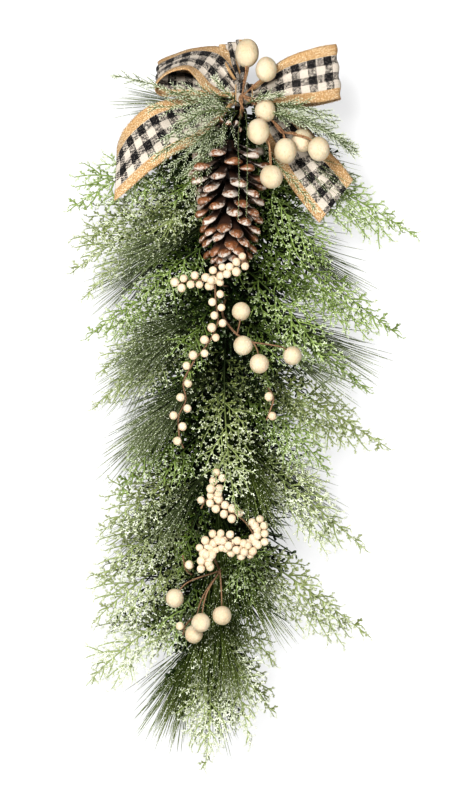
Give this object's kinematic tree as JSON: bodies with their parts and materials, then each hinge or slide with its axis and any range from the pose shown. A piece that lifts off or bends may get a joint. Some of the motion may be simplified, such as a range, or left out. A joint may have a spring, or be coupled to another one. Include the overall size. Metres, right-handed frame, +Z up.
{
  "type": "christmas door swag",
  "caption": "Hanging door swag of artificial cedar and pine sprays with berry picks, a pine cone and a checked ribbon bow on a wire loop.",
  "frame": {"origin": "inside top of the wire loop at the back, where the swag bears on its hook", "axes": "+Z up along the swag, +Y towards the door, so the face is seen from -Y, and +X to the viewer's right"},
  "size_m": [0.351, 0.1291, 0.7301],
  "materials": {
    "stem_brown": "rough brown paper-wrapped stem",
    "hanger_steel": "dark green coated wire",
    "cedar_green": "matte moulded cedar leaf with pale frosted tips",
    "needle_green": "matte grey-green pine needles with white flecks",
    "cone_brown": "dry woody scales with a light white frost",
    "berry_cream": "matte cream foam berries on brown stalks",
    "ribbon_check": "woven black and cream check with burlap edges"
  },
  "bodies": {
    "root": {"berry_pick_low": "berry_cream", "berry_pick_middle": "berry_cream", "berry_pick_top": "berry_cream", "berry_spray_low": "berry_cream", "berry_spray_upper": "berry_cream", "bow_knot": "ribbon_check", "bow_loop_left": "ribbon_check", "bow_loop_right": "ribbon_check", "bow_tail_left": "ribbon_check", "bow_tail_right": "ribbon_check", "bow_top_end": "ribbon_check", "bow_wire": "hanger_steel", "cedar_end_1": "cedar_green", "cedar_end_2": "cedar_green", "cedar_front_1": "cedar_green", "cedar_front_2": "cedar_green", "cedar_front_3": "cedar_green", "cedar_front_4": "cedar_green", "cedar_front_5": "cedar_green", "cedar_front_6": "cedar_green", "cedar_front_7": "cedar_green", "cedar_front_8": "cedar_green", "cedar_left_1": "cedar_green", "cedar_left_2": "cedar_green", "cedar_left_3": "cedar_green", "cedar_left_4": "cedar_green", "cedar_left_5": "cedar_green", "cedar_left_6": "cedar_green", "cedar_left_7": "cedar_green", "cedar_left_8": "cedar_green", "cedar_left_9": "cedar_green", "cedar_right_1": "cedar_green", "cedar_right_2": "cedar_green", "cedar_right_3": "cedar_green", "cedar_right_4": "cedar_green", "cedar_right_5": "cedar_green", "cedar_right_6": "cedar_green", "cedar_right_7": "cedar_green", "cedar_right_8": "cedar_green", "cedar_right_9": "cedar_green", "cone_wire": "hanger_steel", "hanger_loop": "hanger_steel", "main_stem": "stem_brown", "needles_end_left": "needle_green", "needles_end_right": "needle_green", "needles_front": "needle_green", "needles_front_low": "needle_green", "needles_left_1": "needle_green", "needles_left_2": "needle_green", "needles_left_3": "needle_green", "needles_left_4": "needle_green", "needles_right_1": "needle_green", "needles_right_2": "needle_green", "needles_right_3": "needle_green", "needles_right_4": "needle_green", "needles_top": "needle_green", "pine_cone": "cone_brown", "sprig_left": "needle_green", "sprig_right": "needle_green"}
  },
  "joints": []
}
